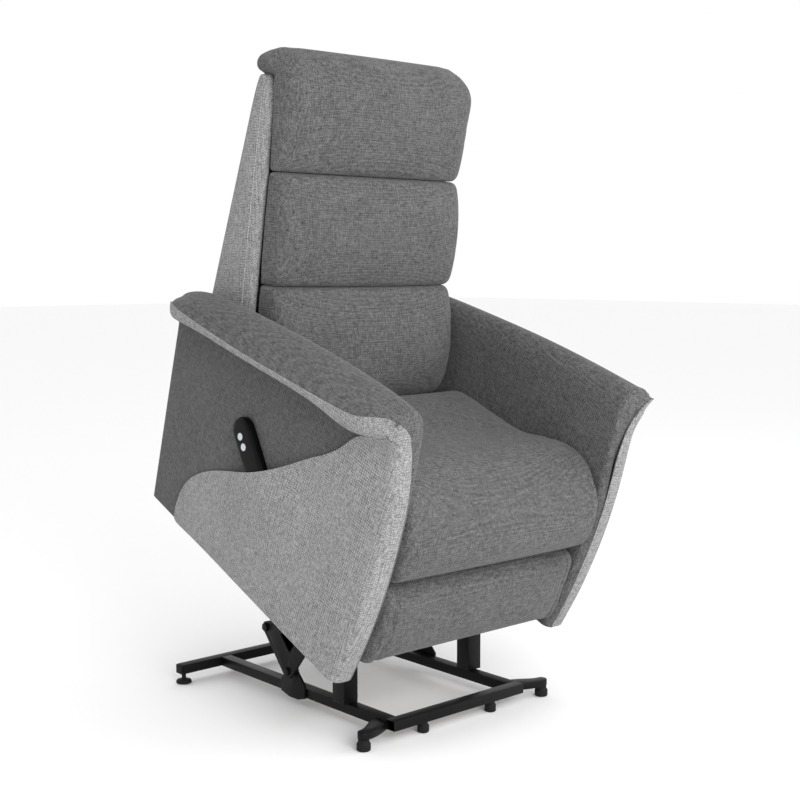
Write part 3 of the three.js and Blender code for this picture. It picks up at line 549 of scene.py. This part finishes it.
seat = seatCushion()
swell(seat, cap=0.008, pressure=3.0, pinned=lambda x, v, w: 1.0 if (w < 0.235 or v > 0.46) else 0.0)
subdivide(seat)
smoothShade(seat)
moveTo(seat, seatPlace)
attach(seat, "chassis")
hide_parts("seat_cushion")
print("made seat", len(seat.data.polygons))


legSet = dict(half=0.2835, corner=0.014, seam=0.254, seamDepth=0.005, seamWidth=0.006, halfDepth=0.031,
              halfHeight=0.093, rear=0.030)
legOutline = [(0.030, 0.040), (0.030, 0.120), (0.030, 0.205), (0.018, 0.213), (-0.004, 0.214),
              (-0.020, 0.207), (-0.027, 0.188), (-0.031, 0.130), (-0.029, 0.075), (-0.020, 0.040),
              (-0.002, 0.028), (0.018, 0.029)]


def legPad():
    half = legSet["half"]
    outline = np.array(closedProfile(legOutline, 56))
    centre = np.array([0.0, 0.12])
    rings = []
    ends = [0.2, 0.45, 0.7, 0.85, 0.92, 0.955, 0.985, 1]
    for u in [-e for e in reversed(ends)] + [0] + ends:
        fromEnd = (1 - abs(u)) * half
        r = legSet["corner"]
        inset = r - math.sqrt(max(r * r - max(r - fromEnd, 0) ** 2, 0)) if fromEnd < r else 0
        scaleV = 1 - inset / legSet["halfDepth"]
        scaleW = 1 - inset / legSet["halfHeight"]
        shifted = (outline - centre) * np.array([max(scaleV, 0.3), scaleW]) + centre
        shifted[:, 0] += legSet["rear"] - shifted[:, 0].max()
        rings.append([(u * half, float(v), float(w)) for v, w in shifted])
    return loft("legPad", rings, darkSeat)


pad = legPad()
swell(pad, cap=0.005, pressure=2.5, pinned=lambda x, v, w: 1.0 if v > 0.022 else 0.0)


def legSeams(co):
    x, v = co[:, 0], co[:, 1]
    near = np.exp(-((np.abs(x) - legSet["seam"]) / legSet["seamWidth"]) ** 2)
    face = np.clip((0.012 - v) / 0.02, 0, 1)
    co[:, 1] += near * face * legSet["seamDepth"]
    return co


subdivide(pad)
shapeVerts(pad, legSeams)
smoothShade(pad)
moveTo(pad, seatPlace)
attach(pad, "leg_panel")
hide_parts("leg_rest_pad")
print("made legPad", len(pad.data.polygons))


armSet = dict(inner=0.287, outer=0.347, face=0.0125, tuck=0.010, core=(0.318, 0.35, 0.35), rearEnd=0.772,
              puff=0.004, cloth=0.004, rearFold=0.317, rearPush=0.014, rearTop=0.440)
# Height of the crown, of the flare's edge and of the crease under it, from front to rear.
crownLine = [(-0.02, 0.606), (0.0, 0.609), (0.03, 0.611), (0.08, 0.612), (0.20, 0.605), (0.33, 0.592),
             (0.50, 0.568), (0.64, 0.545), (0.715, 0.528), (0.76, 0.509), (0.79, 0.486)]
edgeLine = [(-0.02, 0.592), (0.0, 0.592), (0.014, 0.594), (0.028, 0.592), (0.046, 0.580), (0.08, 0.567),
            (0.156, 0.555), (0.216, 0.546), (0.343, 0.529), (0.479, 0.511), (0.611, 0.499), (0.72, 0.488),
            (0.79, 0.474)]
lipDrop = [(-0.02, 0.022), (0.0, 0.022), (0.04, 0.030), (0.08, 0.032), (0.13, 0.030), (0.19, 0.018),
           (0.26, 0.013), (0.50, 0.013), (0.62, 0.017), (0.70, 0.024), (0.79, 0.032)]
lipUnder = 0.015
creaseOut = [(-0.02, 0.019), (0.014, 0.019), (0.04, 0.015), (0.08, 0.007), (0.13, 0.001), (0.20, 0.0),
             (0.79, 0.0)]
tipLine = [(-0.02, 0.364), (0.0, 0.372), (0.014, 0.385), (0.03, 0.397), (0.055, 0.405), (0.10, 0.4065),
           (0.62, 0.4065), (0.70, 0.403), (0.74, 0.394), (0.772, 0.374), (0.79, 0.36)]
# Distance of the front seam from the middle of the chair, by height.
seamLine = [(0.0, 0.303), (0.44, 0.305), (0.48, 0.309), (0.52, 0.317), (0.55, 0.328), (0.572, 0.342),
            (0.585, 0.356), (0.592, 0.370)]
frontLine = [(0.0, 0.0), (0.113, -0.0145), (0.241, -0.020), (0.34, -0.016), (0.419, -0.007), (0.50, 0.006),
             (0.56, 0.012), (0.62, 0.016)]
rearLine = [(0.0, 0.720), (0.43, 0.776), (0.50, 0.780), (0.60, 0.770)]


# One cross-section of the arm at depth v: (x, w) from the inside bottom, over the top, to the outside bottom.
def armSection(v):
    a = armSet
    crown = smoothInterp(crownLine, v)
    edge = smoothInterp(edgeLine, v)
    crease = edge - smoothInterp(lipDrop, v) - lipUnder
    root = a["outer"] + smoothInterp(creaseOut, v)
    drop = crown - edge
    low = edge - smoothInterp(lipDrop, v)
    tip = smoothInterp(tipLine, v)
    inner = [(a["inner"], w) for w in (0.002, 0.09, 0.18, 0.27, 0.35, 0.43)]
    top = [(a["inner"], crown - 0.085), (a["inner"] + 0.001, crown - 0.055),
           (a["inner"] + 0.006, crown - 0.028), (a["inner"] + 0.018, crown - 0.008), (a["inner"] + 0.038, crown),
           (a["inner"] + 0.062, crown - drop * 0.12), (tip - 0.024, crown - drop * 0.52),
           (tip - 0.008, edge + 0.009), (tip, edge)]
    lip = [(tip - 0.001, (edge + low) / 2), (tip - 0.006, low), ((tip + root) / 2, low - lipUnder * 0.5),
           (root + 0.001, crease)]
    side = [(a["outer"], crease - (crease - 0.002) * t) for t in (0.05, 0.14, 0.27, 0.43, 0.61, 0.8, 1.0)]
    return inner, top, lip, side


# How far the front edge's curve moves a point that lies at depth v.
def armFrontShift(w, v):
    return smoothInterp(frontLine, w) * soften(0.16 - v, 0.16)


armStations = [0.0, 0.014, 0.04, 0.08, 0.13, 0.19, 0.26, 0.34, 0.42, 0.50, 0.58, 0.65, 0.70, 0.735, 0.758,
               0.772]


# Depth of a station at height w, with the leaning rear end and the curved front.
def deepen(v, w):
    return v + (smoothInterp(rearLine, w) - armSet["rearEnd"]) * soften(v - 0.3, 0.45) + armFrontShift(w, v)


def armRows(s):
    dark, lipRows, sideRows = [], [], []
    for v in armStations:
        inner, top, lip, outer = armSection(v)
        dark.append([(s * x, deepen(v, w), w) for x, w in inner + top])
        lipRows.append([(s * x, deepen(v, w), w) for x, w in top[-1:] + lip])
        row = []
        for x, w in lip[-1:] + outer:
            along = min(max(v / armSet["rearEnd"], 0), 1)
            puff = armSet["puff"] * math.sin(math.pi * along) * math.sin(math.pi * min(w / 0.45, 1))
            row.append((s * (x + puff), deepen(v, w), w))
        sideRows.append(row)
    return dark, lipRows, sideRows


# Closing rows that fold an end of a cover round to the targets, first or last in the list.
def foldEnd(rows, targets, push, first):
    edge = rows[0] if first else rows[-1]
    sign = -1 if first else 1
    added = []
    for share in (0.16, 0.40, 0.70, 1.0):
        reach = push * math.sin(min(share * 1.5, 1) * math.pi / 2)
        added.append([(x + (tx - x) * share, v + sign * reach, w + (tw - w) * share)
                      for (x, v, w), (tx, tw) in zip(edge, targets)])
    return added[::-1] + rows if first else rows + added


# A point on the front seam, t from 0 at the floor end to 1 at the flare's tip.
def seamTarget(t):
    length = [0.0]
    for (w0, x0), (w1, x1) in zip(seamLine, seamLine[1:]):
        length.append(length[-1] + math.hypot(w1 - w0, x1 - x0))
    at = t * length[-1]
    heights, offsets = zip(*seamLine)
    return float(np.interp(at, length, offsets)), float(np.interp(at, length, heights))


def coverFrom(name, rows, material):
    obj = sheetMesh(name, rows, material)
    b = bmesh.new()
    b.from_mesh(obj.data)
    bmesh.ops.remove_doubles(b, verts=b.verts, dist=1e-5)
    b.to_mesh(obj.data)
    b.free()
    subdivide(obj, 2)
    return obj


# Turns an open cover so that its faces look away from the arm's core.
def faceOutward(obj, s):
    mesh = obj.data
    x, v, w = armSet["core"]
    centre = Vector((s * x, v, w))
    total = sum((p.center - centre).dot(p.normal) * p.area for p in mesh.polygons)
    if total < 0:
        mesh.flip_normals()


def thicken(obj, depth):
    mod = obj.modifiers.new("cloth", "SOLIDIFY")
    mod.thickness = depth
    mod.offset = -1
    mod.use_rim = True
    applyAll(obj)
    smoothShade(obj, math.radians(50))


# Where the rear end of an arm's cover is drawn in to.
def rearTargets(row, s):
    at, top = armSet["rearFold"], armSet["rearTop"]
    return [(s * (at + 0.02 * min(max((abs(x) - at) / 0.09, 0), 1)), min(w, top)) for x, v, w in row]


topShares = [0.0, 0.126, 0.252, 0.378, 0.49, 0.60, 0.68, 0.72, 0.765, 0.81, 0.855, 0.90, 0.955, 0.985, 1.0]
lipShares = [1.0, 0.985, 0.96, 0.93, 0.905]

for side, s in (("right", -1), ("left", 1)):
    dark, lipRows, sideRows = armRows(s)
    push, fold = armSet["rearPush"], armSet["rearFold"]
    front = [(s * (x + armSet["tuck"]), w) for x, w in map(seamTarget, topShares)]
    dark = foldEnd(foldEnd(dark, front, armSet["face"] + 0.001, True), rearTargets(dark[-1], s), push, False)
    front = [(s * x, w) for x, w in map(seamTarget, lipShares)]
    lipRows = foldEnd(foldEnd(lipRows, front, armSet["face"], True), rearTargets(lipRows[-1], s), push, False)
    front = [(s * fold, min(w, 0.5)) for x, v, w in sideRows[0]]
    rear = [(s * fold, w) for x, v, w in sideRows[-1]]
    sideRows = foldEnd(foldEnd(sideRows, front, 0.004, True), rear, push, False)
    # The side covers take the darker copy of the dark weave, which is painted shade.
    for label, rows, material, slot, stands in (
        ("Top", dark, darkSeat, "dark_fabric", f"arm_top_{side}"),
        ("Lip", lipRows, paleSeat, "pale_fabric", None),
        ("Side", sideRows, darkSideShaded, "dark_fabric", f"arm_{side}"),
    ):
        obj = coverFrom(f"arm{label}{side.capitalize()}", rows, material)
        faceOutward(obj, s)
        thicken(obj, armSet["cloth"])
        moveTo(obj, seatPlace)
        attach(obj, "chassis")
        if stands:
            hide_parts(stands)
    print("made arm", side)


# How far back the panel reaches, and how much further out than the arm it stands, by height.
panelEnds = [(0.004, 0.616), (0.015, 0.615), (0.051, 0.619), (0.109, 0.604), (0.156, 0.566), (0.193, 0.516),
             (0.229, 0.449), (0.278, 0.363), (0.322, 0.303), (0.357, 0.264), (0.387, 0.231), (0.413, 0.197),
             (0.440, 0.165), (0.470, 0.140), (0.507, 0.116), (0.522, 0.074), (0.540, 0.036), (0.557, 0.012)]
panelOut = [(0.0, 0.0), (0.50, 0.0), (0.522, 0.004), (0.540, 0.011), (0.557, 0.019)]
panelSet = dict(thick=0.004, edgeLift=0.004, lift=0.0045, puff=0.004)
pocketSet = dict(at=(0.352, 0.255), reach=0.082, lift=0.027, squash=0.8)


def lowerPanel(s):
    a = armSet
    rows = []
    heights = [0.003, 0.03, 0.07, 0.11, 0.15, 0.19, 0.225, 0.26, 0.295, 0.33, 0.365, 0.395, 0.42, 0.445, 0.475,
               0.507, 0.522, 0.540, 0.557]
    for w in heights:
        end = smoothInterp(panelEnds, w)
        front = smoothInterp(frontLine, w)
        out = a["outer"] + smoothInterp(panelOut, w)
        seam = interp(seamLine, w)
        face = front - a["face"]
        row = [(seam, face, w), (seam + 0.004, face - 0.0025, w), ((seam + out) / 2, face - 0.0035, w),
               (out - 0.008, face - 0.001, w), (out + 0.0005, face + 0.006, w), (out + 0.004, face + 0.020, w)]
        start = front + 0.008
        for t in (0.08, 0.18, 0.3, 0.42, 0.54, 0.66, 0.77, 0.87, 0.95, 1.0):
            v = start + (end - start) * t
            lift = panelSet["lift"] + panelSet["edgeLift"] * soften(t - 0.8, 0.2)
            puff = panelSet["puff"] * math.sin(math.pi * t) * math.sin(math.pi * min(w / 0.5, 1))
            if s < 0:
                away = (v - pocketSet["at"][0], (w - pocketSet["at"][1]) * pocketSet["squash"])
                d = math.hypot(*away) / pocketSet["reach"]
                lift += pocketSet["lift"] * math.exp(-d * d)
            row.append((out + lift + puff, v, w))
        rows.append([(s * x, v, z) for x, v, z in row])
    return rows


for side, s in (("right", -1), ("left", 1)):
    obj = coverFrom(f"lowerPanel{side.capitalize()}", lowerPanel(s), paleSeat)
    faceOutward(obj, s)
    thicken(obj, panelSet["thick"])
    moveTo(obj, seatPlace)
    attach(obj, "chassis")
    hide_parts(f"side_panel_{side}")
    print("made panel", side)


handset = dict(top=(0.4655, 0.352), lean=math.radians(38), length=0.185, width=0.060, near=0.348, far=0.370,
               corner=0.012)


def onHandset(along, across):
    c, s = math.cos(handset["lean"]), math.sin(handset["lean"])
    return handset["top"][0] - along * c - across * s, handset["top"][1] - along * s + across * c


def handsetBody():
    h = handset
    half = h["width"] / 2
    outline = []
    for i in range(13):
        a = math.pi * i / 12
        outline.append((half * (1 - math.sin(a)), half * math.cos(a)))
    end, c = h["length"], h["corner"]
    outline += [(end * 0.5, -half), (end - c, -half + 0.002), (end, -half + c),
                (end, half - c), (end - c, half - 0.002), (end * 0.5, half)]
    rings = []
    near, far = h["near"], h["far"]
    edges = ((near, 0.004), (near + 0.003, 0.0), (far - 0.006, 0.0), (far - 0.0015, 0.0015), (far, 0.005))
    for x, inset in edges:
        ring = []
        k = 1 - inset / half
        for along, across in outline:
            reach = 1 - inset / 0.1 if along > half else k
            v, w = onHandset(half + (along - half) * reach, across * k)
            ring.append((-x, v, w))
        rings.append(ring)
    return loft("handsetBody", rings, glossShell)


body = handsetBody()
subdivide(body)
smoothShade(body, math.radians(40))
moveTo(body, seatPlace)
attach(body, "handset")
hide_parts("handset")
print("made handset")


# Short threads set along a row of edges, each turned to follow it.
def stitchTree():
    tree = bpy.data.node_groups.new("stitchRow", "GeometryNodeTree")
    face = tree.interface
    face.new_socket("Geometry", in_out="INPUT", socket_type="NodeSocketGeometry")
    for name in ("Spacing", "Length", "Radius"):
        face.new_socket(name, in_out="INPUT", socket_type="NodeSocketFloat")
    face.new_socket("Thread", in_out="INPUT", socket_type="NodeSocketMaterial")
    face.new_socket("Geometry", in_out="OUTPUT", socket_type="NodeSocketGeometry")
    add = tree.nodes.new
    start, end = add("NodeGroupInput"), add("NodeGroupOutput")
    curve, spaced = add("GeometryNodeMeshToCurve"), add("GeometryNodeResampleCurve")
    thread = add("GeometryNodeMeshCylinder")
    spaced.mode = "LENGTH"
    thread.inputs["Vertices"].default_value = 6
    tangent, turn = add("GeometryNodeInputTangent"), add("FunctionNodeAlignRotationToVector")
    turn.axis = "Z"
    scatter, real = add("GeometryNodeInstanceOnPoints"), add("GeometryNodeRealizeInstances")
    paint = add("GeometryNodeSetMaterial")
    link = tree.links.new
    link(start.outputs["Geometry"], curve.inputs["Mesh"])
    link(curve.outputs["Curve"], spaced.inputs["Curve"])
    link(start.outputs["Spacing"], spaced.inputs["Length"])
    link(start.outputs["Radius"], thread.inputs["Radius"])
    link(start.outputs["Length"], thread.inputs["Depth"])
    link(tangent.outputs["Tangent"], turn.inputs["Vector"])
    link(spaced.outputs["Curve"], scatter.inputs["Points"])
    link(thread.outputs["Mesh"], scatter.inputs["Instance"])
    link(turn.outputs["Rotation"], scatter.inputs["Rotation"])
    link(scatter.outputs["Instances"], real.inputs["Geometry"])
    link(real.outputs["Geometry"], paint.inputs["Geometry"])
    link(start.outputs["Thread"], paint.inputs["Material"])
    link(paint.outputs["Geometry"], end.inputs["Geometry"])
    return tree


stitchRow = stitchTree()
stitch = dict(spacing=0.0075, length=0.0048, radius=0.0007)


def sewRows(name, paths, thread, body, place):
    verts, edges = [], []
    for path in paths:
        edges += [(len(verts) + i, len(verts) + i + 1) for i in range(len(path) - 1)]
        verts += [place @ Vector(p) for p in path]
    mesh = bpy.data.meshes.new(name)
    mesh.from_pydata(verts, edges, [])
    mesh.materials.append(thread)
    obj = bpy.data.objects.new(name, mesh)
    bpy.context.scene.collection.objects.link(obj)
    mod = obj.modifiers.new("stitches", "NODES")
    mod.node_group = stitchRow
    values = {"Spacing": stitch["spacing"], "Length": stitch["length"], "Radius": stitch["radius"],
              "Thread": thread}
    for item in stitchRow.interface.items_tree:
        if item.in_out == "INPUT" and item.name in values:
            mod[item.identifier] = values[item.name]
    applyAll(obj)
    smoothShade(obj, math.radians(50))
    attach(obj, body)
    print("made", name, len(obj.data.polygons))


rows = [[(s * (0.2775 + 0.0045 * math.sin(math.pi * (z - 0.1) / 0.7)), interp(wingLine, z) + 0.024, z)
         for z in np.linspace(0.12, 0.735, 40)] for s in (-1, 1)]
sewRows("wingStitches", rows, threadPale, "backrest", backPlace)
rows = []
for s in (-1, 1):
    row = []
    for v in np.linspace(0.09, 0.69, 50):
        tip, edge = smoothInterp(tipLine, v), smoothInterp(edgeLine, v)
        row.append((s * (tip - 0.0145), deepen(v, edge), edge + 0.0155))
    rows.append(row)
sewRows("lipStitches", rows, threadDark, "chassis", seatPlace)
print("stitches made")


softened = dict(width=0.0022, segments=2, angle=math.radians(32), shade=math.radians(35))


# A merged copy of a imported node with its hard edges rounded.
def rounded(node, material, body):
    source = nodes[node]
    mesh = source.data.copy()
    obj = bpy.data.objects.new(node + "Rounded", mesh)
    bpy.context.scene.collection.objects.link(obj)
    mesh.materials.clear()
    mesh.materials.append(material)
    b = bmesh.new()
    b.from_mesh(mesh)
    bmesh.ops.remove_doubles(b, verts=b.verts, dist=1e-5)
    bmesh.ops.dissolve_limit(b, angle_limit=0.01, verts=b.verts, edges=b.edges)
    b.to_mesh(mesh)
    b.free()
    mod = obj.modifiers.new("edge", "BEVEL")
    mod.width = softened["width"]
    mod.segments = softened["segments"]
    mod.limit_method = "ANGLE"
    mod.angle_limit = softened["angle"]
    mod.use_clamp_overlap = True
    applyAll(obj)
    smoothShade(obj, softened["shade"])
    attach(obj, body)
    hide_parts(node)
    return obj


slotMaterial = {"black_steel": blackPowder, "rubber": rubberPad, "zinc_steel": zincPlate,
                "motor_plastic": motorShell, "timber": plywood, "dark_fabric": darkSeat,
                "pale_fabric": paleSeat, "gloss_plastic": glossShell, "grey_plastic": greyKeys}
bodyOf = {n: b for b, members in frame["record"]["behaviour"]["bodies"].items() for n in members}
slotOf = {p["node"]: p["material_slot"] for p in frame["record"]["subparts"]}
hidden = {n for n in nodes if nodes[n].hide_render}
roundedSlots = {"black_steel", "rubber", "motor_plastic"}
for node, obj in nodes.items():
    if node in hidden:
        continue
    material = slotMaterial[slotOf[node]]
    if slotOf[node] in roundedSlots:
        rounded(node, material, bodyOf[node])
    else:
        obj.data.materials.clear()
        obj.data.materials.append(material)
print("frame finished")


def plainMaterial(name, color, roughness):
    m = Nodes(name)
    m.shader.inputs["Base Color"].default_value = (*color, 1)
    m.shader.inputs["Roughness"].default_value = roughness
    return m.mat


floorMesh = bpy.data.meshes.new("floor")
floorSet = dict(reach=30, height=-0.0005)
corners = [(floorSet["reach"] * x, floorSet["reach"] * y, floorSet["height"])
           for x, y in ((-1, -1), (1, -1), (1, 1), (-1, 1))]
floorMesh.from_pydata(corners, [], [(0, 1, 2, 3)])
floorMesh.materials.append(plainMaterial("floorPaint", (0.94, 0.94, 0.94), 0.95))
floor = bpy.data.objects.new("floor", floorMesh)
bpy.context.scene.collection.objects.link(floor)

world = bpy.data.worlds.new("studio")
world.use_nodes = True
world.node_tree.nodes["Background"].inputs["Color"].default_value = (1, 1, 1, 1)
world.node_tree.nodes["Background"].inputs["Strength"].default_value = 1.0
bpy.context.scene.world = world


def areaLight(name, place, target, size, power):
    data = bpy.data.lights.new(name, "AREA")
    data.shape = "SQUARE"
    data.size = size
    data.energy = power
    light = bpy.data.objects.new(name, data)
    light.location = place
    direction = Vector(target) - Vector(place)
    light.rotation_euler = direction.to_track_quat("-Z", "Y").to_euler()
    bpy.context.scene.collection.objects.link(light)


areaLight("key", (-1.2, -3.9, 1.9), (0, 0, 0.6), 2.4, 130)
areaLight("fill", (3.2, -2.2, 2.0), (0, 0, 0.8), 2.5, 40)

camData = bpy.data.cameras.new("view")
camData.sensor_width = 36
camData.lens = 60.65
camData.clip_end = 60
cam = bpy.data.objects.new("view", camData)
cam.location = (-2.0003, -2.2754, 0.9859)
cam.rotation_euler = (math.radians(90 - 5.6), 0, math.radians(-41.73))
bpy.context.scene.collection.objects.link(cam)
bpy.context.scene.camera = cam
bpy.context.scene.view_settings.view_transform = "Standard"
print("stage set")
